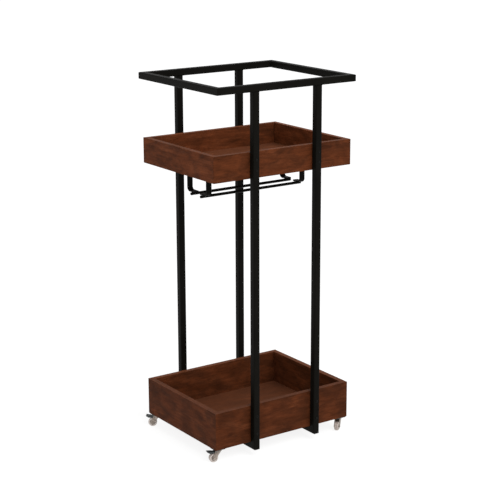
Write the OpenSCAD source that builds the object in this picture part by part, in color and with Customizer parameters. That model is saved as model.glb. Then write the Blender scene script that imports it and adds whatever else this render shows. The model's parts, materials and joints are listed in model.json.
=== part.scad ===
// Two-tray bar cart on casters: a square-tube steel frame with a handrail ring on top,
// two open wooden box trays, a hanging stemware rack and four small swivel casters.
// Millimetres, +Z up. Origin on the floor under the centre of the trays, front is -Y.

/* [Trays] */
// outer length of both trays, along X
tray_l = 450; // [300:5:700]
// outer depth of both trays, along Y
tray_d = 352; // [250:1:500]
// thickness of the tray wall boards
wall_t = 15; // [9:1:20]
// thickness of the tray floor boards
floor_t = 12; // [6:1:18]
// height of the upper tray walls
upper_h = 71; // [40:1:120]
// height of the lower tray walls
lower_h = 105; // [60:5:160]
// height of the upper tray's underside above the floor
upper_z = 777; // [600:1:900]

/* [Frame] */
// outside width of the square steel tube
tube = 19; // [12:1:25]
// wall thickness of the square steel tube
tube_wall = 1.2; // [0.8:0.1:2]
// outside corner radius of the square steel tube
tube_r = 2.5; // [1.5:0.1:3]
// distance from the middle of the cart to each post's centre, along X
post_x = 102; // [60:1:180]
// overall height, at the top of the handrail ring
top_z = 1027; // [900:1:1200]

/* [Stemware rack] */
// distance from the middle of the cart to each strap's centre, along X
strap_x = 156; // [100:1:200]
// width of each flat strap
strap_w = 16; // [10:1:20]
// thickness of each flat strap
strap_t = 4; // [2:0.5:4]
// distance from the middle of the cart to each strap's outer face, along Y
strap_y = 49; // [40:1:60]
// drop from the tray's underside to the straps' lowest face
strap_drop = 65; // [40:0.5:90]
// outside radius of the straps' lower bend
strap_bend = 12; // [7:0.5:14]
// diameter of the two glass-hanging rods
rod_d = 8; // [4:0.5:10]
// distance from the middle of the cart to each rod's centre, along Y
rod_y = 24; // [20:0.5:26]
// reach of each strap's foot past its rod's centre
foot_past = 9; // [3:0.5:12]
// length of the rods
rod_l = 336; // [250:1:400]

/* [Casters] */
// height of a caster, floor to mounting face
caster_h = 39; // [39:1:60]
// diameter of the wheels
wheel_d = 25; // [20:1:40]
// width of the wheel treads
wheel_w = 12; // [8:0.5:16]
// horizontal distance from the swivel axis to the axle
trail = 13; // [8:0.5:18]
// side of the square mounting plates
plate_w = 32; // [28:1:45]
// distance from the tray's edges to each swivel axis
caster_inset = 17; // [16.5:0.5:30]
// direction in which the front left caster trails, from +X
yaw_fl = 168; // [0:1:359]
// direction in which the rear left caster trails, from +X
yaw_rl = 143; // [0:1:359]
// direction in which the front right caster trails, from +X
yaw_fr = 218; // [0:1:359]
// direction in which the rear right caster trails, from +X
yaw_rr = 196; // [0:1:359]

/* [Hidden] */
$fn = 48;
lower_z = caster_h;
post_y = tray_d / 2 + tube / 2;
out_y = tray_d / 2 + tube;
base_z = caster_h - tube;
ring_z = top_z - tube;
caster_x = tray_l / 2 - caster_inset;
caster_y = tray_d / 2 - caster_inset;
hole_step = plate_w / 2 - 4.5;
plate_t = 2;
pin_d = 6;
race_t = 2.4;
race_z = caster_h - plate_t - race_t;
fork_t = 1.5;
crown_x = 9;
crown_z = race_z - 0.3 - fork_t;
leg_in = wheel_w / 2 + 0.6;
leg_out = leg_in + fork_t;
hinge_x = 7.5;
hinge_z = caster_h - 10.5;
screw_d = 4;
screw_x = [-post_x, post_x];
upper_screws = [upper_z + 24, upper_z + 52];
lower_screws = [lower_z + 28, lower_z + 78];
wood = [0.38, 0.2, 0.13];
black = [0.07, 0.07, 0.07];
steel = [0.72, 0.7, 0.67];
dark_steel = [0.2, 0.2, 0.2];
clear = [0.8, 0.76, 0.72];

// solid square with rounded corners, centred
module rounded_square(w, r)
{
  square([w, w - 2 * r], center = true);
  square([w - 2 * r, w], center = true);
  for (sx = [-1, 1], sy = [-1, 1])
    translate([sx * (w / 2 - r), sy * (w / 2 - r)])
      circle(r = r);
}

// cross-section of the hollow square tube
module tube_section()
{
  difference()
  {
    rounded_square(tube, tube_r);
    rounded_square(tube - 2 * tube_wall, tube_r - tube_wall + 0.2);
  }
}

// flat profile given as [y, z] points, stretched to a thickness w along X
module slab_x(points, w)
{
  rotate([90, 0, 90])
    linear_extrude(height = w, center = true)
      polygon(points);
}

// ring tube along X on the side sy, with mitred ends
module ring_long(sy)
{
  intersection()
  {
    translate([0, sy * post_y, ring_z + tube / 2])
      rotate([90, 0, 90])
        linear_extrude(height = tray_l, center = true)
          tube_section();
    translate([0, 0, ring_z - 1])
      linear_extrude(height = tube + 2)
        polygon([
          [-tray_l / 2, sy * out_y],
          [tray_l / 2, sy * out_y],
          [tray_l / 2 - tube, sy * (out_y - tube)],
          [-tray_l / 2 + tube, sy * (out_y - tube)]
        ]);
  }
}

// ring tube along Y on the side sx, with mitred ends
module ring_short(sx)
{
  intersection()
  {
    translate([sx * (tray_l - tube) / 2, 0, ring_z + tube / 2])
      rotate([90, 0, 0])
        linear_extrude(height = 2 * out_y, center = true)
          tube_section();
    translate([0, 0, ring_z - 1])
      linear_extrude(height = tube + 2)
        polygon([
          [sx * tray_l / 2, -out_y],
          [sx * tray_l / 2, out_y],
          [sx * (tray_l / 2 - tube), out_y - tube],
          [sx * (tray_l / 2 - tube), -out_y + tube]
        ]);
  }
}

// shafts of the screws that hold the trays to the posts, on the side sy
module tray_shafts(sy, heights)
{
  for (x = screw_x, z = heights)
    translate([x, sy * (out_y - (tube + 12) / 2), z])
      rotate([90, 0, 0])
        cylinder(d = screw_d, h = tube + 12, center = true);
}

// upright post with a mitred foot and screw holes
module post(sx, sy)
{
  difference()
  {
    intersection()
    {
      translate([sx * post_x, sy * post_y, base_z])
        linear_extrude(height = ring_z - base_z)
          tube_section();
      translate([sx * post_x, 0, 0])
        slab_x([
          [sy * out_y, base_z],
          [sy * (out_y - tube), base_z + tube],
          [sy * (out_y - tube), top_z],
          [sy * out_y, top_z]
        ], tube + 2);
    }
    tray_shafts(sy, upper_screws);
    tray_shafts(sy, lower_screws);
  }
}

// bar under the lower tray, mitred to the feet of two posts
module base_bar(sx)
{
  intersection()
  {
    translate([sx * post_x, 0, base_z + tube / 2])
      rotate([90, 0, 0])
        linear_extrude(height = 2 * out_y, center = true)
          tube_section();
    translate([sx * post_x, 0, 0])
      slab_x([
        [-out_y, base_z],
        [out_y, base_z],
        [out_y - tube, base_z + tube],
        [-out_y + tube, base_z + tube]
      ], tube + 2);
  }
}

// tray wall along X on the side sy, with mitred ends
module long_wall(sy, h)
{
  linear_extrude(height = h)
    polygon([
      [-tray_l / 2, sy * tray_d / 2],
      [tray_l / 2, sy * tray_d / 2],
      [tray_l / 2 - wall_t, sy * (tray_d / 2 - wall_t)],
      [-tray_l / 2 + wall_t, sy * (tray_d / 2 - wall_t)]
    ]);
}

// tray wall along Y on the side sx, with mitred ends
module short_wall(sx, h)
{
  linear_extrude(height = h)
    polygon([
      [sx * tray_l / 2, -tray_d / 2],
      [sx * tray_l / 2, tray_d / 2],
      [sx * (tray_l / 2 - wall_t), tray_d / 2 - wall_t],
      [sx * (tray_l / 2 - wall_t), -tray_d / 2 + wall_t]
    ]);
}

// tray floor board, fitted between the four walls
module floor_board()
{
  linear_extrude(height = floor_t)
    square([tray_l - 2 * wall_t, tray_d - 2 * wall_t], center = true);
}

// wall of the upper tray along X, drilled for its screws
module upper_long(sy)
{
  difference()
  {
    translate([0, 0, upper_z])
      long_wall(sy, upper_h);
    tray_shafts(sy, upper_screws);
  }
}

// positions of the sixteen caster screws
module at_caster_screws()
{
  for (sx = [-1, 1], sy = [-1, 1], hx = [-1, 1], hy = [-1, 1])
    translate([sx * caster_x + hx * hole_step, sy * caster_y + hy * hole_step, 0])
      children();
}

// drillings in the lower tray for the caster screws
module caster_drillings()
{
  at_caster_screws()
    translate([0, 0, caster_h - 1])
      cylinder(d = 3, h = 11);
}

// wall of the lower tray along X, drilled for its screws
module lower_long(sy)
{
  difference()
  {
    translate([0, 0, lower_z])
      long_wall(sy, lower_h);
    tray_shafts(sy, lower_screws);
    caster_drillings();
  }
}

// wall of the lower tray along Y, drilled for the caster screws
module lower_short(sx)
{
  difference()
  {
    translate([0, 0, lower_z])
      short_wall(sx, lower_h);
    caster_drillings();
  }
}

// positions of the four rack screws
module at_rack_screws()
{
  for (sx = [-1, 1], sy = [-1, 1])
    translate([sx * strap_x, sy * (strap_y + 13), 0])
      children();
}

// quarter of a flat ring between two radii, in the +Y +Z corner
module quarter(r_out, r_in)
{
  intersection()
  {
    difference()
    {
      circle(r = r_out);
      circle(r = r_in);
    }
    square(r_out);
  }
}

// side profile of a strap: screw flange, upright and foot, with rounded bends
module strap_profile()
{
  // screw flange against the tray's underside
  translate([strap_y + 2, -strap_t])
    square([20, strap_t]);
  // bend between the flange and the upright
  translate([strap_y + 2, -strap_t - 2])
    mirror([1, 0])
      quarter(strap_t + 2, 2);
  // upright
  translate([strap_y - strap_t, -strap_drop + strap_bend])
    square([strap_t, strap_drop - strap_bend - strap_t - 2]);
  // rounded lower bend
  translate([strap_y - strap_bend, -strap_drop + strap_bend])
    mirror([0, 1])
      quarter(strap_bend, strap_bend - strap_t);
  // foot that carries the rod
  translate([rod_y - foot_past, -strap_drop])
    square([strap_y - strap_bend - rod_y + foot_past, strap_t]);
}

// one strap of the rack
module strap(sx, sy)
{
  difference()
  {
    translate([sx * strap_x, 0, upper_z])
      mirror([0, sy < 0 ? 1 : 0, 0])
        rotate([90, 0, 90])
          linear_extrude(height = strap_w, center = true)
            strap_profile();
    at_rack_screws()
      translate([0, 0, upper_z - 10])
        cylinder(d = 3, h = 15);
  }
}

// rod that the glass feet hang on
module rod(sy)
{
  translate([0, sy * rod_y, upper_z - strap_drop - rod_d / 2])
    rotate([0, 90, 0])
      cylinder(d = rod_d, h = rod_l, center = true);
}

// puts its child on the swivel axis of the caster at sx, sy, turned by yaw
module at_caster(sx, sy, yaw)
{
  translate([sx * caster_x, sy * caster_y, 0])
    rotate([0, 0, yaw])
      children();
}

// mounting plate with rounded corners, four screw holes and a kingpin hole
module plate()
{
  translate([0, 0, caster_h - plate_t])
    difference()
    {
      linear_extrude(height = plate_t)
        rounded_square(plate_w, 3);
      for (hx = [-1, 1], hy = [-1, 1])
        translate([hx * hole_step, hy * hole_step, -1])
          cylinder(d = 3.4, h = plate_t + 2);
      translate([0, 0, -1])
        cylinder(d = pin_d, h = plate_t + 2);
    }
}

// ball race under the plate
module race()
{
  translate([0, 0, race_z])
    rotate_extrude()
      polygon([
        [pin_d / 2, 0],
        [8.5, 0],
        [9.5, 1],
        [9.5, race_t - 1],
        [10.5, race_t],
        [pin_d / 2, race_t]
      ]);
}

// kingpin with a riveted head under the fork's crown
module kingpin()
{
  rotate_extrude()
    polygon([
      [0, crown_z - 2],
      [3.4, crown_z - 2],
      [4.5, crown_z - 1],
      [4.5, crown_z - 0.3],
      [pin_d / 2, crown_z - 0.3],
      [pin_d / 2, caster_h],
      [0, caster_h]
    ]);
}

// round bar across the caster, centred on its middle plane
module cross_bar(x, z, d, w)
{
  translate([x, 0, z])
    rotate([90, 0, 0])
      cylinder(d = d, h = w, center = true);
}

// one cheek of the fork, from the crown down to the axle
module cheek(y)
{
  translate([0, y, 0])
    rotate([90, 0, 0])
      linear_extrude(height = leg_out - leg_in, center = true)
      {
        polygon([
          [-crown_x, crown_z + fork_t],
          [crown_x, crown_z + fork_t],
          [trail + 4.7, wheel_d / 2 + 1.7],
          [trail, wheel_d / 2],
          [trail - 4.7, wheel_d / 2 - 1.7]
        ]);
        translate([trail, wheel_d / 2])
          circle(r = 5);
      }
}

// skirt that joins the cheeks along their leading edges, under the crown
module skirt()
{
  top = crown_z + fork_t / 2;
  drop = 12;
  lean = (trail - 4.7 + crown_x) / (crown_z + fork_t - wheel_d / 2 + 1.7);
  rotate([90, 0, 0])
    linear_extrude(height = 2 * leg_in + fork_t, center = true)
      polygon([
        [-crown_x + 0.8, top],
        [-crown_x + 2.5, top],
        [-crown_x + 2.5 + lean * drop, top - drop],
        [-crown_x + 0.8 + lean * drop, top - drop]
      ]);
}

// fork with its crown, skirt, two cheeks, axle holes and, if braked, pedal holes
module fork(braked)
{
  difference()
  {
    union()
    {
      translate([0, 0, crown_z + fork_t / 2])
        cube([2 * crown_x, 2 * leg_out, fork_t], center = true);
      skirt();
      cheek((leg_in + leg_out) / 2);
      cheek(-(leg_in + leg_out) / 2);
    }
    translate([0, 0, crown_z - 1])
      cylinder(d = pin_d + 0.1, h = 4);
    cross_bar(trail, wheel_d / 2, 3, 30);
    if (braked)
      cross_bar(hinge_x, hinge_z, 2.5, 30);
  }
}

// axle rivet with a head at each end
module axle()
{
  cross_bar(trail, wheel_d / 2, 3, 2 * leg_out);
  for (sy = [-1, 1])
    translate([trail, sy * (leg_out + 0.5), wheel_d / 2])
      rotate([90, 0, 0])
        cylinder(d = 5, h = 1, center = true);
}

// wheel with a hub, a thinner web and a rounded tread
module wheel()
{
  translate([trail, 0, wheel_d / 2])
    rotate([90, 0, 0])
      rotate_extrude()
        difference()
        {
          union()
          {
            translate([1.55, -leg_in + 0.3])
              square([2.95, 2 * leg_in - 0.6]);
            translate([4, -wheel_w / 2 + 2.2])
              square([5, wheel_w - 4.4]);
            translate([8.6, -wheel_w / 2])
              square([wheel_d / 2 - 8.6 - 2.5, wheel_w]);
            translate([8.6, -wheel_w / 2 + 2.5])
              square([wheel_d / 2 - 8.6, wheel_w - 5]);
            for (s = [-1, 1])
              translate([wheel_d / 2 - 2.5, s * (wheel_w / 2 - 2.5)])
                circle(r = 2.5);
          }
          translate([0, -wheel_w])
            square([1.55, 2 * wheel_w]);
        }
}

// brake pedal: a lever on a cross pin, wider outside the fork
module pedal()
{
  cross_bar(hinge_x, hinge_z, 2.4, 2 * leg_out);
  rotate([90, 0, 0])
    linear_extrude(height = 2 * leg_in - 0.8, center = true)
      polygon([
        [hinge_x - 2, hinge_z - 1],
        [hinge_x + 2.5, hinge_z - 1.5],
        [19, hinge_z - 1.7],
        [19, hinge_z + 3.1],
        [hinge_x, hinge_z + 1.7],
        [hinge_x - 2, hinge_z + 1]
      ]);
  rotate([90, 0, 0])
    linear_extrude(height = 15, center = true)
      polygon([
        [18, hinge_z - 1.5],
        [24, hinge_z - 1.9],
        [32, hinge_z + 2.9],
        [31.6, hinge_z + 4.4],
        [18, hinge_z + 3]
      ]);
}

// front tube of the handrail ring
module ring_front()
{
  color(black)
    ring_long(-1);
}

// rear tube of the handrail ring
module ring_rear()
{
  color(black)
    ring_long(1);
}

// left tube of the handrail ring
module ring_left()
{
  color(black)
    ring_short(-1);
}

// right tube of the handrail ring
module ring_right()
{
  color(black)
    ring_short(1);
}

// front left post
module post_front_left()
{
  color(black)
    post(-1, -1);
}

// front right post
module post_front_right()
{
  color(black)
    post(1, -1);
}

// rear left post
module post_rear_left()
{
  color(black)
    post(-1, 1);
}

// rear right post
module post_rear_right()
{
  color(black)
    post(1, 1);
}

// left bar under the lower tray
module base_bar_left()
{
  color(black)
    base_bar(-1);
}

// right bar under the lower tray
module base_bar_right()
{
  color(black)
    base_bar(1);
}

// front wall of the upper tray
module upper_wall_front()
{
  color(wood)
    upper_long(-1);
}

// rear wall of the upper tray
module upper_wall_rear()
{
  color(wood)
    upper_long(1);
}

// left wall of the upper tray
module upper_wall_left()
{
  color(wood)
    translate([0, 0, upper_z])
      short_wall(-1, upper_h);
}

// right wall of the upper tray
module upper_wall_right()
{
  color(wood)
    translate([0, 0, upper_z])
      short_wall(1, upper_h);
}

// floor of the upper tray, drilled for the rack screws
module upper_floor()
{
  color(wood)
    difference()
    {
      translate([0, 0, upper_z])
        floor_board();
      at_rack_screws()
        translate([0, 0, upper_z - 1])
          cylinder(d = 3, h = 10);
    }
}

// front wall of the lower tray
module lower_wall_front()
{
  color(wood)
    lower_long(-1);
}

// rear wall of the lower tray
module lower_wall_rear()
{
  color(wood)
    lower_long(1);
}

// left wall of the lower tray
module lower_wall_left()
{
  color(wood)
    lower_short(-1);
}

// right wall of the lower tray
module lower_wall_right()
{
  color(wood)
    lower_short(1);
}

// floor of the lower tray, drilled for the caster screws
module lower_floor()
{
  color(wood)
    difference()
    {
      translate([0, 0, lower_z])
        floor_board();
      caster_drillings();
    }
}

// front left strap of the stemware rack
module rack_strap_front_left()
{
  color(black)
    strap(-1, -1);
}

// front right strap of the stemware rack
module rack_strap_front_right()
{
  color(black)
    strap(1, -1);
}

// rear left strap of the stemware rack
module rack_strap_rear_left()
{
  color(black)
    strap(-1, 1);
}

// rear right strap of the stemware rack
module rack_strap_rear_right()
{
  color(black)
    strap(1, 1);
}

// front rod of the stemware rack
module rack_rod_front()
{
  color(black)
    rod(-1);
}

// rear rod of the stemware rack
module rack_rod_rear()
{
  color(black)
    rod(1);
}

// screws through the posts into the trays
module tray_screws()
{
  color(black)
    for (sy = [-1, 1])
    {
      tray_shafts(sy, upper_screws);
      tray_shafts(sy, lower_screws);
      for (x = screw_x, z = concat(upper_screws, lower_screws))
        translate([x, sy * (out_y + 0.7), z])
          rotate([90, 0, 0])
            cylinder(d = 7, h = 1.4, center = true);
    }
}

// screws that hold the rack under the upper tray
module rack_screws()
{
  color(black)
    at_rack_screws()
    {
      translate([0, 0, upper_z - strap_t])
        cylinder(d = 3, h = strap_t + 9);
      translate([0, 0, upper_z - strap_t - 1.6])
        cylinder(d = 6, h = 1.6);
    }
}

// screws that hold the casters under the lower tray
module caster_screws()
{
  color(steel)
    at_caster_screws()
    {
      translate([0, 0, caster_h - plate_t])
        cylinder(d = 3, h = plate_t + 10);
      translate([0, 0, caster_h - plate_t - 1.4])
        cylinder(d = 5.6, h = 1.4);
    }
}

// mounting plate of the front left caster
module plate_fl()
{
  color(steel)
    at_caster(-1, -1, 0)
      plate();
}

// ball race of the front left caster
module race_fl()
{
  color(steel)
    at_caster(-1, -1, 0)
      race();
}

// kingpin of the front left caster
module kingpin_fl()
{
  color(steel)
    at_caster(-1, -1, 0)
      kingpin();
}

// fork of the front left caster
module fork_fl()
{
  color(steel)
    at_caster(-1, -1, yaw_fl)
      fork(true);
}

// axle rivet of the front left caster
module axle_fl()
{
  color(steel)
    at_caster(-1, -1, yaw_fl)
      axle();
}

// wheel of the front left caster
module wheel_fl()
{
  color(clear)
    at_caster(-1, -1, yaw_fl)
      wheel();
}

// brake pedal of the front left caster
module pedal_fl()
{
  color(dark_steel)
    at_caster(-1, -1, yaw_fl)
      pedal();
}

// mounting plate of the rear left caster
module plate_rl()
{
  color(steel)
    at_caster(-1, 1, 0)
      plate();
}

// ball race of the rear left caster
module race_rl()
{
  color(steel)
    at_caster(-1, 1, 0)
      race();
}

// kingpin of the rear left caster
module kingpin_rl()
{
  color(steel)
    at_caster(-1, 1, 0)
      kingpin();
}

// fork of the rear left caster
module fork_rl()
{
  color(steel)
    at_caster(-1, 1, yaw_rl)
      fork(true);
}

// axle rivet of the rear left caster
module axle_rl()
{
  color(steel)
    at_caster(-1, 1, yaw_rl)
      axle();
}

// wheel of the rear left caster
module wheel_rl()
{
  color(clear)
    at_caster(-1, 1, yaw_rl)
      wheel();
}

// brake pedal of the rear left caster
module pedal_rl()
{
  color(dark_steel)
    at_caster(-1, 1, yaw_rl)
      pedal();
}

// mounting plate of the front right caster
module plate_fr()
{
  color(steel)
    at_caster(1, -1, 0)
      plate();
}

// ball race of the front right caster
module race_fr()
{
  color(steel)
    at_caster(1, -1, 0)
      race();
}

// kingpin of the front right caster
module kingpin_fr()
{
  color(steel)
    at_caster(1, -1, 0)
      kingpin();
}

// fork of the front right caster
module fork_fr()
{
  color(steel)
    at_caster(1, -1, yaw_fr)
      fork(false);
}

// axle rivet of the front right caster
module axle_fr()
{
  color(steel)
    at_caster(1, -1, yaw_fr)
      axle();
}

// wheel of the front right caster
module wheel_fr()
{
  color(clear)
    at_caster(1, -1, yaw_fr)
      wheel();
}

// mounting plate of the rear right caster
module plate_rr()
{
  color(steel)
    at_caster(1, 1, 0)
      plate();
}

// ball race of the rear right caster
module race_rr()
{
  color(steel)
    at_caster(1, 1, 0)
      race();
}

// kingpin of the rear right caster
module kingpin_rr()
{
  color(steel)
    at_caster(1, 1, 0)
      kingpin();
}

// fork of the rear right caster
module fork_rr()
{
  color(steel)
    at_caster(1, 1, yaw_rr)
      fork(false);
}

// axle rivet of the rear right caster
module axle_rr()
{
  color(steel)
    at_caster(1, 1, yaw_rr)
      axle();
}

// wheel of the rear right caster
module wheel_rr()
{
  color(clear)
    at_caster(1, 1, yaw_rr)
      wheel();
}

ring_front();
ring_rear();
ring_left();
ring_right();
post_front_left();
post_front_right();
post_rear_left();
post_rear_right();
base_bar_left();
base_bar_right();
upper_wall_front();
upper_wall_rear();
upper_wall_left();
upper_wall_right();
upper_floor();
lower_wall_front();
lower_wall_rear();
lower_wall_left();
lower_wall_right();
lower_floor();
rack_strap_front_left();
rack_strap_front_right();
rack_strap_rear_left();
rack_strap_rear_right();
rack_rod_front();
rack_rod_rear();
tray_screws();
rack_screws();
caster_screws();
plate_fl();
race_fl();
kingpin_fl();
fork_fl();
axle_fl();
wheel_fl();
pedal_fl();
plate_rl();
race_rl();
kingpin_rl();
fork_rl();
axle_rl();
wheel_rl();
pedal_rl();
plate_fr();
race_fr();
kingpin_fr();
fork_fr();
axle_fr();
wheel_fr();
plate_rr();
race_rr();
kingpin_rr();
fork_rr();
axle_rr();
wheel_rr();
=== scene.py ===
"""Looks of the bar cart: materials, eased edges, welds, screw heads, ribs, light and camera.

Everything is in metres in the CAD frame: +Z up, X along the trays, -Y towards the front.
"""

import json
import math

import bmesh
import bpy
from mathutils import Matrix, Vector


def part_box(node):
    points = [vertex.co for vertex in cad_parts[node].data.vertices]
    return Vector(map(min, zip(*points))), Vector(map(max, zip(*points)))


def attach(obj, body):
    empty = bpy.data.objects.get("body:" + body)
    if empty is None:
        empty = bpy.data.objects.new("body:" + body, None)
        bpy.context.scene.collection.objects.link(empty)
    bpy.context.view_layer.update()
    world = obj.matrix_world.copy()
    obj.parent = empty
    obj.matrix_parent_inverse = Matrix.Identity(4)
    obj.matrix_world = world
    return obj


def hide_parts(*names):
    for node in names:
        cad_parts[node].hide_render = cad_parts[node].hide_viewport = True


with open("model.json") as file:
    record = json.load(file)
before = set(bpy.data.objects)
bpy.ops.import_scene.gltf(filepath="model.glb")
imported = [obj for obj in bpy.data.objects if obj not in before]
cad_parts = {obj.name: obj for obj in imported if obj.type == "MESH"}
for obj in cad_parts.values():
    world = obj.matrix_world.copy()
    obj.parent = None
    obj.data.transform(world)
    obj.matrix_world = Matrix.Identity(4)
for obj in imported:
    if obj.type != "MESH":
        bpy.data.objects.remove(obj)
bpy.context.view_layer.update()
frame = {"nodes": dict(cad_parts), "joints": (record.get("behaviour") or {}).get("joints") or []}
nodes = frame["nodes"]

MM = 0.001
UP = Vector((0, 0, 1))
SIDES = {"front": -1, "rear": 1, "left": -1, "right": 1}
CASTERS = ("fl", "rl", "fr", "rr")
BRAKED = ("fl", "rl")

# Drawn sizes that the frame doesn't hold, repeated from the design
UPPER_SCREWS = (24 * MM, 52 * MM)  # above the upper tray's underside
LOWER_SCREWS = (28 * MM, 78 * MM)  # above the lower tray's underside
PLATE_HOLE = 11.5 * MM  # from a caster plate's centre to its holes, along X and Y
RACK_SCREW_INSET = 9 * MM  # from the end of a strap's flange to its screw
STRAP_THICKNESS = 4 * MM

# How light the boards are: a tone for each tray, and a factor of painted light for rear and
# right-hand boards
UPPER_TONE = 1.02
LOWER_TONE = 0.78
FAR_BOARDS_PAINTED_LIGHT = 1.28

# Width of the eased edges of each kind of piece
EASE = {
    "rack_strap": 0.5 * MM,
    "rack_rod": 0.8 * MM,
    "board": 0.9 * MM,
    "plate": 0.4 * MM,
    "race": 0.3 * MM,
    "kingpin": 0.3 * MM,
    "fork": 0.35 * MM,
    "axle": 0.35 * MM,
    "wheel": 0.25 * MM,
    "pedal": 0.6 * MM,
}

# Clean-up, easing and smoothing of meshes
WELD_DISTANCE = 0.01 * MM
FLAT_ANGLE = math.radians(0.5)
EASED_ANGLE = math.radians(40)
SMOOTH_ANGLE = math.radians(35)

# Sides of the tube that every bead and rib is
BEAD_SIDES = 10

# Weld beads at the ring
BEAD_RADIUS = 1.25 * MM
BEAD_GAP = 0.1 * MM  # between a bead's centre line and the faces it joins
BEAD_INSET = 1.2 * MM  # from the end of the seam to the end of the bead
BEAD_RIPPLES = 9

# Weld beads at the rack
RACK_BEAD_RADIUS = 0.85 * MM
RACK_BEAD_OFFSET = 2.1 * MM  # from the rod's centre line
RACK_BEAD_DEPTH = 0.35 * MM  # below the rod's top
RACK_BEAD_INSET = 1 * MM  # from the strap's edge to the end of the bead
RACK_BEAD_RIPPLES = 8

# Screw heads
HEAD_SIDES = 24
HEAD_SINK = 0.2 * MM  # how far a head reaches into the face that it stands on
HEAD_FOOT = 0.15 * MM  # height of the head's lowest edge above that face

# Grip ribs of a brake pedal, and the sloping upper face of the pedal that they lie on
RIB_REACHES = (23, 26, 29)  # mm from the swivel axis
RIB_HALF_LENGTH = 6.2 * MM
RIB_RADIUS = 0.6 * MM
TOP_START = 18  # mm from the swivel axis to the start of the slope
TOP_HEIGHT = 3  # mm from the hinge up to the start of the slope
TOP_SLOPE = 0.103

# How far from its axle a wheel's range of tones reaches
TREAD_REACH = 13 * MM

# Studio
FLOOR_SIZE = 1200
SKY_STRENGTH = 0.66

# Camera: where it aims, from how far, and at what angle
AIM = Vector((0.001, 0.0352, 0.5511))
DISTANCE = 4.086
AZIMUTH = math.radians(34.325)
ELEVATION = math.radians(14.304)
ROLL = math.radians(0.252)
LENS = 108.62  # mm
SENSOR = 36  # mm
VIEW_END = 1500  # past the corners of the floor


# ---------------------------------------------------------------- node helpers


def new_material(name):
    """An empty Principled material, its node tree and its shader."""
    material = bpy.data.materials.new(name)
    material.use_nodes = True
    return material, material.node_tree, material.node_tree.nodes["Principled BSDF"]


def node(tree, kind, settings=None, **inputs):
    """A shader node with its settings, and its inputs by name or as i0, i1 and so on.

    An input value that is a socket is linked.
    """
    made = tree.nodes.new(kind)
    for key, value in (settings or {}).items():
        setattr(made, key, value)
    for key, value in inputs.items():
        numbered = key[0] == "i" and key[1:].isdigit()
        socket = made.inputs[int(key[1:]) if numbered else key]
        if isinstance(value, bpy.types.NodeSocket):
            tree.links.new(value, socket)
        else:
            socket.default_value = value
    return made


def stretched(tree, scale, offset=(0, 0, 0)):
    """Object coordinates scaled along X, Y and Z, and moved so that pieces differ."""
    place = node(tree, "ShaderNodeTexCoord").outputs["Object"]
    return node(tree, "ShaderNodeMapping", Vector=place, Scale=scale, Location=offset).outputs[0]


def noise(tree, vector, scale=1.0, detail=4.0, roughness=0.55, distortion=0.0):
    """The value of a noise texture."""
    return node(
        tree,
        "ShaderNodeTexNoise",
        Vector=vector,
        Scale=scale,
        Detail=detail,
        Roughness=roughness,
        Distortion=distortion,
    ).outputs["Fac"]


def ramp(tree, value, stops):
    """A colour ramp over (position, colour) stops."""
    made = node(tree, "ShaderNodeValToRGB", i0=value)
    elements = made.color_ramp.elements
    while len(elements) < len(stops):
        elements.new(0.5)
    for element, (position, colour) in zip(elements, stops):
        element.position = position
        element.color = (*colour, 1)
    return made.outputs[0]


def grey(tree, value, low, high, at=(0.0, 1.0)):
    """Maps a value from the range at to the range low to high, clamped."""
    return node(tree, "ShaderNodeMapRange", i0=value, i1=at[0], i2=at[1], i3=low, i4=high).outputs[0]


def math_node(tree, operation, a, b):
    """One arithmetic step."""
    return node(tree, "ShaderNodeMath", {"operation": operation}, i0=a, i1=b).outputs[0]


def add(tree, a, b):
    """The sum of two values."""
    return math_node(tree, "ADD", a, b)


def times(tree, value, factor):
    """A value times a factor."""
    return math_node(tree, "MULTIPLY", value, factor)


def mix_colours(tree, kind, factor, a, b):
    """Mixes colour b into colour a, or multiplies a by b, by a factor."""
    made = node(tree, "ShaderNodeMix", {"data_type": "RGBA", "blend_type": kind})
    for index, value in ((0, factor), (6, a), (7, b)):
        if isinstance(value, bpy.types.NodeSocket):
            tree.links.new(value, made.inputs[index])
        else:
            made.inputs[index].default_value = value
    return made.outputs[2]


def bump(tree, height, distance, strength, after=None):
    """A bump normal from a height value, on top of an earlier normal if there is one."""
    made = node(tree, "ShaderNodeBump", Height=height, Distance=distance, Strength=strength)
    if after is not None:
        tree.links.new(after, made.inputs["Normal"])
    return made.outputs[0]


# ------------------------------------------------------------------- materials


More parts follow.
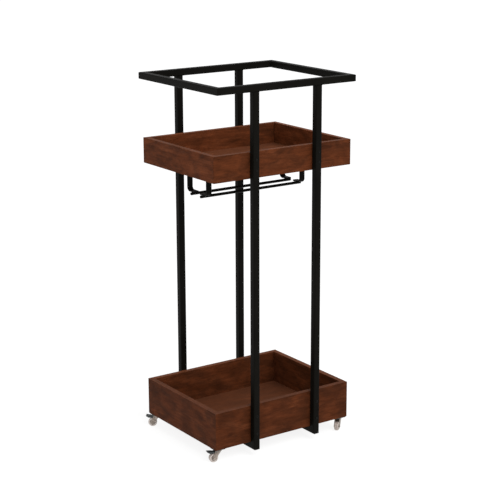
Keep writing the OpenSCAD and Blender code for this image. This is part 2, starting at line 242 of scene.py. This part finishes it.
def wood(name, along, seed, tone):
    """Satin red-brown walnut board, grain along the axis 0 (X) or 1 (Y); painted light makes upward
    faces paler.
    """
    material, tree, shader = new_material(name)

    def grain(length, width):
        """Coordinates for features about length metres long and width metres wide."""
        scale = [1 / width] * 3
        scale[along] = 1 / length
        return stretched(tree, scale, (seed * 3.7, seed * 1.9, seed * 5.3))

    figure = noise(tree, grain(0.11, 0.030), detail=3, distortion=1.1)
    bands = noise(tree, grain(0.055, 0.0050), detail=4, roughness=0.6, distortion=0.5)
    fibres = noise(tree, grain(0.022, 0.0011), detail=4, roughness=0.65)
    pores = noise(tree, grain(0.009, 0.00055), detail=2, roughness=0.5)
    patches = noise(tree, grain(0.060, 0.035), detail=4, distortion=0.8)

    def shade(red, green, blue):
        return (red * tone, green * tone, blue * tone)

    coarse = add(tree, times(tree, figure, 0.40), times(tree, bands, 0.30))
    colour = ramp(
        tree,
        add(tree, coarse, times(tree, fibres, 0.30)),
        [
            (0.34, shade(0.044, 0.0125, 0.0045)),
            (0.45, shade(0.068, 0.0188, 0.0067)),
            (0.54, shade(0.090, 0.0254, 0.0094)),
            (0.66, shade(0.136, 0.0410, 0.0160)),
        ],
    )
    tint = ramp(tree, patches, [(0.36, (0.72, 0.76, 0.82)), (0.62, (1.18, 1.14, 1.10))])
    colour = mix_colours(tree, "MULTIPLY", 1.0, colour, tint)
    # Painted light: upward faces are mixed towards a paler brown, for the light falling on them from
    # above
    normal = node(tree, "ShaderNodeNewGeometry").outputs["Normal"]
    upward = node(tree, "ShaderNodeSeparateXYZ", Vector=normal).outputs["Z"]
    painted_top_light = grey(tree, upward, 0.0, 0.42, (0.5, 0.95))
    colour = mix_colours(tree, "MIX", painted_top_light, colour, (*shade(0.185, 0.070, 0.036), 1))
    dark = grey(tree, pores, 0.0, 0.55, (0.58, 0.68))
    colour = mix_colours(tree, "MIX", dark, colour, (0.026, 0.008, 0.004, 1))
    tree.links.new(colour, shader.inputs["Base Color"])

    gloss = add(tree, grey(tree, fibres, 0.42, 0.56, (0.3, 0.7)), times(tree, dark, 0.2))
    tree.links.new(gloss, shader.inputs["Roughness"])
    shader.inputs["Specular IOR Level"].default_value = 0.02
    relief = bump(tree, fibres, 0.00005, 0.5)
    relief = bump(tree, math_node(tree, "SUBTRACT", 1.0, dark), 0.00008, 0.6, relief)
    tree.links.new(relief, shader.inputs["Normal"])
    return material


def powder_coat():
    """Satin black powder coat with its fine orange peel."""
    material, tree, shader = new_material("powder_coat")
    place = stretched(tree, (1, 1, 1))
    peel = noise(tree, place, scale=950, detail=2, roughness=0.5)
    cloud = noise(tree, place, scale=14, detail=3)
    colour = ramp(tree, cloud, [(0.3, (0.0036, 0.0032, 0.0024)), (0.7, (0.0056, 0.0050, 0.0040))])
    tree.links.new(colour, shader.inputs["Base Color"])
    tree.links.new(grey(tree, cloud, 0.38, 0.48, (0.3, 0.7)), shader.inputs["Roughness"])
    shader.inputs["Specular IOR Level"].default_value = 0.03
    tree.links.new(bump(tree, peel, 0.00006, 0.6), shader.inputs["Normal"])
    return material


def weld_metal():
    """Powder coat over a rippled weld bead: a little rougher and dustier."""
    material, tree, shader = new_material("weld_coat")
    place = stretched(tree, (1, 1, 1))
    grainy = noise(tree, place, scale=1500, detail=3)
    colour = ramp(tree, grainy, [(0.3, (0.0036, 0.0032, 0.0026)), (0.7, (0.0064, 0.0058, 0.0048))])
    tree.links.new(colour, shader.inputs["Base Color"])
    tree.links.new(grey(tree, grainy, 0.42, 0.55), shader.inputs["Roughness"])
    shader.inputs["Specular IOR Level"].default_value = 0.04
    tree.links.new(bump(tree, grainy, 0.0001, 0.6), shader.inputs["Normal"])
    return material


def screw_black():
    """Black oxide screws, faintly oily."""
    material, tree, shader = new_material("black_screw")
    spots = noise(tree, stretched(tree, (1, 1, 1)), scale=700, detail=3)
    colour = ramp(tree, spots, [(0.3, (0.0035, 0.0033, 0.0028)), (0.75, (0.0065, 0.0060, 0.0052))])
    tree.links.new(colour, shader.inputs["Base Color"])
    tree.links.new(grey(tree, spots, 0.30, 0.45), shader.inputs["Roughness"])
    shader.inputs["Specular IOR Level"].default_value = 0.08
    tree.links.new(bump(tree, spots, 0.00003, 0.5), shader.inputs["Normal"])
    return material


def plated_steel():
    """Zinc-plated pressed steel: warm grey, brushed and a little cloudy."""
    material, tree, shader = new_material("plated_steel")
    brushed = noise(tree, stretched(tree, (250, 250, 2600)), detail=3)
    cloud = noise(tree, stretched(tree, (1, 1, 1)), scale=130, detail=4, distortion=0.4)
    colour = ramp(
        tree,
        cloud,
        [
            (0.32, (0.17, 0.135, 0.110)),
            (0.52, (0.27, 0.225, 0.190)),
            (0.70, (0.40, 0.345, 0.30)),
        ],
    )
    tree.links.new(colour, shader.inputs["Base Color"])
    shader.inputs["Metallic"].default_value = 0.35
    gloss = add(tree, grey(tree, cloud, 0.24, 0.40, (0.3, 0.7)), times(tree, brushed, 0.08))
    tree.links.new(gloss, shader.inputs["Roughness"])
    tree.links.new(bump(tree, brushed, 0.00002, 0.4), shader.inputs["Normal"])
    return material


def pedal_steel_and_painted_shade():
    """Dark gunmetal of the pedals, rubbed in places; on the plates, races, kingpins and plate screws
    it is painted shade, for the shade under the trays.
    """
    material, tree, shader = new_material("pedal_steel_and_painted_shade")
    place = stretched(tree, (1, 1, 1))
    rubbed = noise(tree, place, scale=260, detail=4, roughness=0.65)
    colour = ramp(
        tree,
        rubbed,
        [
            (0.40, (0.030, 0.034, 0.034)),
            (0.62, (0.070, 0.078, 0.078)),
            (0.78, (0.20, 0.21, 0.21)),
        ],
    )
    tree.links.new(colour, shader.inputs["Base Color"])
    shader.inputs["Metallic"].default_value = 0.6
    tree.links.new(grey(tree, rubbed, 0.50, 0.32, (0.35, 0.7)), shader.inputs["Roughness"])
    tree.links.new(bump(tree, rubbed, 0.00004, 0.5), shader.inputs["Normal"])
    return material


def clear_tread(name, centre, axle):
    """Translucent polyurethane of the wheel at centre, which turns about the direction axle.

    It has a pale hub, a darker web and a pale scuffed tread.
    """
    material, tree, shader = new_material(name)
    place = stretched(tree, (1, 1, 1))

    def vector_node(operation, **inputs):
        return node(tree, "ShaderNodeVectorMath", {"operation": operation}, **inputs).outputs

    off = vector_node("SUBTRACT", i0=place, i1=centre)[0]
    across = vector_node("CROSS_PRODUCT", i0=off, i1=axle)[0]
    radius = vector_node("LENGTH", i0=across)["Value"]
    cloud = noise(tree, place, scale=260, detail=3, distortion=0.4)
    scuffs = noise(tree, place, scale=900, detail=5, roughness=0.7)
    layer = grey(tree, radius, 0.0, 1.0, (0.0, TREAD_REACH))
    reach = add(tree, layer, grey(tree, cloud, -0.10, 0.10, (0.3, 0.7)))
    colour = ramp(
        tree,
        reach,
        [
            (0.30, (0.62, 0.56, 0.51)),
            (0.42, (0.26, 0.21, 0.18)),
            (0.56, (0.40, 0.34, 0.30)),
            (0.68, (0.70, 0.64, 0.59)),
            (0.86, (0.58, 0.50, 0.46)),
            (0.97, (0.42, 0.35, 0.31)),
        ],
    )
    tree.links.new(colour, shader.inputs["Base Color"])
    shader.inputs["Transmission Weight"].default_value = 0.25
    shader.inputs["IOR"].default_value = 1.48
    tree.links.new(grey(tree, scuffs, 0.14, 0.42, (0.35, 0.75)), shader.inputs["Roughness"])
    tree.links.new(bump(tree, scuffs, 0.00003, 0.5), shader.inputs["Normal"])
    return material


def floor_paint():
    """Plain pale studio floor, which glows a little, with a trace of tone variation."""
    material, tree, shader = new_material("studio_floor")
    cloud = noise(tree, stretched(tree, (1, 1, 1)), scale=2.0, detail=2)
    colour = ramp(tree, cloud, [(0.3, (0.17, 0.17, 0.17)), (0.7, (0.19, 0.19, 0.19))])
    tree.links.new(colour, shader.inputs["Base Color"])
    shader.inputs["Emission Color"].default_value = (1, 1, 1, 1)
    shader.inputs["Emission Strength"].default_value = 0.87
    shader.inputs["Roughness"].default_value = 0.9
    shader.inputs["Specular IOR Level"].default_value = 0.0
    return material


# ------------------------------------------------------------ dressing the CAD


def paint(piece, material):
    """Gives a piece one material."""
    piece.data.materials.clear()
    piece.data.materials.append(material)


def smooth(piece):
    """Smooth shading except across edges sharper than SMOOTH_ANGLE."""
    rounder = piece.modifiers.new("shade", "NODES")
    rounder.node_group = smooth_group()


def smooth_group():
    """A geometry node group that smooths faces and keeps sharp edges by angle."""
    name = "smooth_by_angle"
    if name in bpy.data.node_groups:
        return bpy.data.node_groups[name]
    group = bpy.data.node_groups.new(name, "GeometryNodeTree")
    group.interface.new_socket("Geometry", in_out="INPUT", socket_type="NodeSocketGeometry")
    group.interface.new_socket("Geometry", in_out="OUTPUT", socket_type="NodeSocketGeometry")
    start = group.nodes.new("NodeGroupInput")
    end = group.nodes.new("NodeGroupOutput")
    faces = group.nodes.new("GeometryNodeSetShadeSmooth")
    edges = group.nodes.new("GeometryNodeSetShadeSmooth")
    edges.domain = "EDGE"
    bend = group.nodes.new("GeometryNodeInputMeshEdgeAngle")
    flat = group.nodes.new("FunctionNodeCompare")
    flat.operation = "LESS_EQUAL"
    flat.inputs[1].default_value = SMOOTH_ANGLE
    link = group.links.new
    link(start.outputs[0], faces.inputs["Geometry"])
    link(faces.outputs[0], edges.inputs["Geometry"])
    link(bend.outputs["Unsigned Angle"], flat.inputs[0])
    link(flat.outputs[0], edges.inputs["Shade Smooth"])
    link(edges.outputs[0], end.inputs[0])
    return group


def dress(name, material, ease=0.0, segments=2):
    """Material, and edges eased by modifiers, for a CAD node; its own mesh stays as it is."""
    piece = nodes[name]
    paint(piece, material)
    join = piece.modifiers.new("join", "WELD")
    join.merge_threshold = WELD_DISTANCE
    if ease:
        flat = piece.modifiers.new("flat", "DECIMATE")
        flat.decimate_type = "DISSOLVE"
        flat.angle_limit = FLAT_ANGLE
        bevel = piece.modifiers.new("ease", "BEVEL")
        bevel.width = ease
        bevel.segments = segments
        bevel.limit_method = "ANGLE"
        bevel.angle_limit = EASED_ANGLE
    smooth(piece)
    if ease:
        level = piece.modifiers.new("level", "WEIGHTED_NORMAL")
        level.keep_sharp = True


def dress_frame(coat):
    """The ring, posts and base bars, whose corners are round already, and the rack."""
    for name in nodes:
        if name.startswith(("ring_", "post_", "base_bar_")):
            dress(name, coat)
        if name.startswith("rack_strap"):
            dress(name, coat, EASE["rack_strap"])
        if name.startswith("rack_rod"):
            dress(name, coat, EASE["rack_rod"], 3)


def dress_trays():
    """Each board has its own stretch of grain, along its length."""
    boards = sorted(n for n in nodes if n.startswith(("upper_", "lower_")))
    for seed, name in enumerate(boards):
        along = 1 if name.endswith(("_left", "_right")) else 0
        tone = UPPER_TONE if name.startswith("upper_") else LOWER_TONE
        # Painted light: rear and right-hand boards are lightened all round, for the light on their
        # inner faces
        if name.endswith(("_rear", "_right")):
            tone *= FAR_BOARDS_PAINTED_LIGHT
        dress(name, wood("board_" + name, along, seed + 1, tone), EASE["board"], 3)


def dress_casters(steel, dark):
    """Pedals dark, and plates, races and kingpins dark as painted shade; forks and axles plated; a
    tread for each wheel.
    """
    axles = {j["name"]: j["axis"] for j in frame["joints"]}
    for key in CASTERS:
        # Painted shade: plates, races and kingpins take the dark pedal steel, for the shade under
        # the tray
        for part in ("plate", "race", "kingpin"):
            dress(f"{part}_{key}", dark, EASE[part])
        for part in ("fork", "axle"):
            dress(f"{part}_{key}", steel, EASE[part])
        tread = clear_tread(f"clear_tread_{key}", middle(f"wheel_{key}"), axles[f"roll_{key}"])
        dress(f"wheel_{key}", tread, EASE["wheel"])
    for key in BRAKED:
        dress(f"pedal_{key}", dark, EASE["pedal"], 3)


# --------------------------------------------------------------- mesh building


def build(name, shape, material, body):
    """A mesh piece from a Shape, which rides on a CAD body and takes the given material."""
    mesh = bpy.data.meshes.new(name)
    mesh.from_pydata([tuple(v) for v in shape.verts], [], shape.faces)
    work = bmesh.new()
    work.from_mesh(mesh)
    bmesh.ops.recalc_face_normals(work, faces=work.faces)
    work.to_mesh(mesh)
    work.free()
    piece = bpy.data.objects.new(name, mesh)
    bpy.context.scene.collection.objects.link(piece)
    paint(piece, material)
    smooth(piece)
    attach(piece, body)
    return piece


class Shape:
    """Collects vertices and faces of a piece made of several closed bits."""

    def __init__(self):
        self.verts = []
        self.faces = []

    def rings(self, rings):
        """A closed skin over rings of points, all with the same count, and its two end faces."""
        base = len(self.verts)
        count = len(rings[0])
        for ring in rings:
            self.verts += ring
        for r in range(len(rings) - 1):
            below = base + r * count
            above = below + count
            for i in range(count):
                j = (i + 1) % count
                self.faces.append((below + i, below + j, above + j, above + i))
        self.faces.append(tuple(range(base, base + count)))
        last = base + (len(rings) - 1) * count
        self.faces.append(tuple(range(last, last + count)))

    def bead(self, start, end, radius, ripples):
        """A weld bead from start to end: a tube that swells at each ripple and ends round."""
        run = end - start
        ahead = run.normalized()
        aside = ahead.orthogonal().normalized()
        above = ahead.cross(aside)
        steps = ripples * 4
        rings = []
        for s in range(steps + 1):
            t = s / steps
            taper = math.sqrt(max(0.0, 1 - (2 * t - 1) ** 8))
            r = radius * max(0.12, taper) * (1 + 0.13 * math.cos(2 * math.pi * ripples * t))
            centre = start + run * t
            rings.append(
                [centre + r * (math.cos(a) * aside + math.sin(a) * above) for a in turn(BEAD_SIDES)]
            )
        self.rings(rings)

    def screw_head(self, centre, out, radius, height, recess):
        """A domed head that stands on centre and points out.

        Its driver recess reaches recess(angle) from the middle.
        """
        aside = out.orthogonal().normalized()
        above = out.cross(aside)
        angles = turn(HEAD_SIDES)

        def ring(level, reach):
            return [
                centre + out * level + reach(a) * (math.cos(a) * aside + math.sin(a) * above)
                for a in angles
            ]

        def disc(level, reach):
            return ring(level, lambda a: reach)

        def socket(level, share):
            return ring(level, lambda a: recess(a) * share)

        rings = [
            disc(-HEAD_SINK, radius * 0.3),
            disc(-HEAD_SINK, radius * 0.97),
            disc(HEAD_FOOT, radius),
            disc(height * 0.35, radius),
        ]
        for step in (0.35, 0.62, 0.85):
            level = height * (0.35 + 0.65 * math.sin(step * math.pi / 2))
            rings.append(disc(level, radius * math.cos(step * 1.1)))
        rings += [
            socket(height, 1.08),
            socket(height * 0.94, 1),
            socket(height * 0.3, 0.92),
            socket(height * 0.2, 0.2),
        ]
        self.rings(rings)


def turn(count):
    """Angles once round."""
    return [2 * math.pi * i / count for i in range(count)]


def hex_socket(flats):
    """Reach of a hexagonal recess at an angle, from its width across flats."""
    return lambda a: flats / 2 / math.cos((a + math.pi / 6) % (math.pi / 3) - math.pi / 6)


def cross_slot(reach, width):
    """Reach of a cross recess at an angle."""

    def at(a):
        off = (a + math.pi / 4) % (math.pi / 2) - math.pi / 4
        return min(reach, width / (abs(math.sin(off)) + 0.12))

    return at


def middle(name):
    """The centre of a CAD node's box."""
    low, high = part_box(name)
    return (low + high) / 2


def corners():
    """Front or rear with left or right, in turn."""
    return [(y, x) for y in ("front", "rear") for x in ("left", "right")]


# ------------------------------------------------------------- detailed pieces


def frame_welds(coat):
    """Beads where the posts meet the ring, and inside the ring's corners."""
    shape = Shape()
    ring_low, ring_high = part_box("ring_front")
    half = (ring_high.y - ring_low.y) / 2  # of the tube's width
    inside = ring_high.x - 2 * half - BEAD_GAP
    run = Vector((0, half - BEAD_INSET, 0))
    for y, x in corners():
        post = middle(f"post_{y}_{x}")
        for side in (-1, 1):
            seam = Vector((post.x + side * (half + BEAD_GAP), post.y, ring_low.z - BEAD_GAP))
            shape.bead(seam - run, seam + run, BEAD_RADIUS, BEAD_RIPPLES)
        inner = Vector((SIDES[x] * inside, post.y - SIDES[y] * (half + BEAD_GAP), ring_low.z))
        foot = inner + UP * BEAD_INSET
        head = inner + UP * (2 * half - BEAD_INSET)
        shape.bead(foot, head, BEAD_RADIUS, BEAD_RIPPLES)
    build("frame_welds", shape, coat, "cart")


def rack_welds(coat):
    """Beads on both sides of each rod, under the feet of the straps."""
    shape = Shape()
    for y, x in corners():
        rod = middle(f"rack_rod_{y}")
        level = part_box(f"rack_rod_{y}")[1].z - RACK_BEAD_DEPTH
        low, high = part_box(f"rack_strap_{y}_{x}")
        for side in (-1, 1):
            seam_y = rod.y + side * RACK_BEAD_OFFSET
            start = Vector((low.x + RACK_BEAD_INSET, seam_y, level))
            end = Vector((high.x - RACK_BEAD_INSET, seam_y, level))
            shape.bead(start, end, RACK_BEAD_RADIUS, RACK_BEAD_RIPPLES)
    build("rack_welds", shape, coat, "cart")


def tray_screw_heads(black):
    """Button heads on the posts' outer faces, in place of the plain CAD heads."""
    shape = Shape()
    for y, x in corners():
        low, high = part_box(f"post_{y}_{x}")
        face = low.y if y == "front" else high.y
        for tray, heights in (("upper_floor", UPPER_SCREWS), ("lower_floor", LOWER_SCREWS)):
            for height in heights:
                at = Vector(((low.x + high.x) / 2, face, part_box(tray)[0].z + height))
                out = Vector((0, SIDES[y], 0))
                recess = hex_socket(flats=2.5 * MM)
                shape.screw_head(at, out, radius=3.5 * MM, height=1.4 * MM, recess=recess)
    piece = build("tray_screw_heads", shape, black, "cart")
    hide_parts("tray_screws")


def rack_screw_heads(black):
    """Cross-recess heads under the flanges of the straps."""
    shape = Shape()
    for y, x in corners():
        low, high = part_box(f"rack_strap_{y}_{x}")
        end = low.y if y == "front" else high.y
        under = high.z - STRAP_THICKNESS
        at = Vector(((low.x + high.x) / 2, end - SIDES[y] * RACK_SCREW_INSET, under))
        recess = cross_slot(reach=1.7 * MM, width=0.5 * MM)
        shape.screw_head(at, -UP, radius=3 * MM, height=1.6 * MM, recess=recess)
    piece = build("rack_screw_heads", shape, black, "cart")
    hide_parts("rack_screws")


def caster_screw_heads(dark):
    """Cross-recess heads under the corners of the caster plates."""
    shape = Shape()
    for key in CASTERS:
        plate = middle(f"plate_{key}")
        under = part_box(f"plate_{key}")[0].z
        for y, x in corners():
            at = Vector((plate.x + SIDES[x] * PLATE_HOLE, plate.y + SIDES[y] * PLATE_HOLE, under))
            recess = cross_slot(reach=1.5 * MM, width=0.45 * MM)
            shape.screw_head(at, -UP, radius=2.8 * MM, height=1.4 * MM, recess=recess)
    # Painted shade: the heads take the dark pedal steel, for the shade under the tray
    piece = build("caster_screw_heads", shape, dark, "cart")
    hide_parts("caster_screws")


def pedal_ribs(dark):
    """Three grip ribs across the tip of each brake pedal."""
    joints = {j["name"]: j for j in frame["joints"]}
    for key in BRAKED:
        pivot = Vector(joints[f"swivel_{key}"]["pos_m"])
        hinge = joints[f"brake_{key}"]["pos_m"][2]
        across = Vector(joints[f"roll_{key}"]["axis"])
        ahead = across.cross(UP)
        run = across * RIB_HALF_LENGTH
        shape = Shape()
        for reach in RIB_REACHES:
            level = hinge + (TOP_HEIGHT + (reach - TOP_START) * TOP_SLOPE) * MM
            at = Vector((pivot.x, pivot.y, level)) + ahead * reach * MM
            shape.bead(at - run, at + run, RIB_RADIUS, 1)
        build(f"pedal_ribs_{key}", shape, dark, f"brake_{key}")


# ----------------------------------------------------------- studio and camera


def studio():
    """A wide pale floor, an even white sky, and soft sun-like light from above the front."""
    bpy.ops.mesh.primitive_plane_add(size=FLOOR_SIZE)
    ground = bpy.context.active_object
    ground.name = "studio_floor"
    paint(ground, floor_paint())

    world = bpy.data.worlds.new("studio")
    bpy.context.scene.world = world
    world.use_nodes = True
    sky = world.node_tree.nodes["Background"]
    sky.inputs["Color"].default_value = (1, 1, 1, 1)
    sky.inputs["Strength"].default_value = SKY_STRENGTH

    def soft_sun(name, azimuth, elevation, strength, spread):
        """A sun to the left of the front by azimuth, and above by elevation, in degrees."""
        lamp = bpy.data.lights.new(name, "SUN")
        lamp.energy = strength
        lamp.angle = math.radians(spread)
        thing = bpy.data.objects.new(name, lamp)
        aside = math.radians(azimuth)
        rise = math.radians(elevation)
        level = math.cos(rise)
        toward = Vector((-math.sin(aside) * level, -math.cos(aside) * level, math.sin(rise)))
        thing.rotation_euler = toward.to_track_quat("Z", "Y").to_euler()
        bpy.context.scene.collection.objects.link(thing)

    soft_sun("key", azimuth=-8, elevation=46, strength=2.0, spread=40)
    soft_sun("fill", azimuth=75, elevation=35, strength=0.42, spread=60)


def camera():
    """The camera stands at AZIMUTH to the left of the front and looks down by ELEVATION."""
    ahead = Vector(
        (
            math.sin(AZIMUTH) * math.cos(ELEVATION),
            math.cos(AZIMUTH) * math.cos(ELEVATION),
            -math.sin(ELEVATION),
        )
    )
    right = ahead.cross(UP).normalized()
    above = right.cross(ahead)
    tilted_right = right * math.cos(ROLL) - above * math.sin(ROLL)
    tilted_up = right * math.sin(ROLL) + above * math.cos(ROLL)
    data = bpy.data.cameras.new("camera")
    data.lens = LENS
    data.sensor_width = SENSOR
    data.clip_end = VIEW_END
    thing = bpy.data.objects.new("camera", data)
    turned = Matrix((tilted_right, tilted_up, -ahead)).transposed().to_4x4()
    thing.matrix_world = Matrix.Translation(AIM - ahead * DISTANCE) @ turned
    bpy.context.scene.collection.objects.link(thing)
    bpy.context.scene.camera = thing


camera()
studio()
bpy.context.scene.view_settings.view_transform = "Standard"

coat = powder_coat()
weld_coat = weld_metal()
black = screw_black()
steel = plated_steel()
# Dark pedal steel, also painted shade on the caster plates, races, kingpins and plate screws
dark = pedal_steel_and_painted_shade()

dress_frame(coat)
dress_trays()
dress_casters(steel, dark)
frame_welds(weld_coat)
rack_welds(weld_coat)
tray_screw_heads(black)
rack_screw_heads(black)
caster_screw_heads(dark)
pedal_ribs(dark)

bpy.context.view_layer.update()
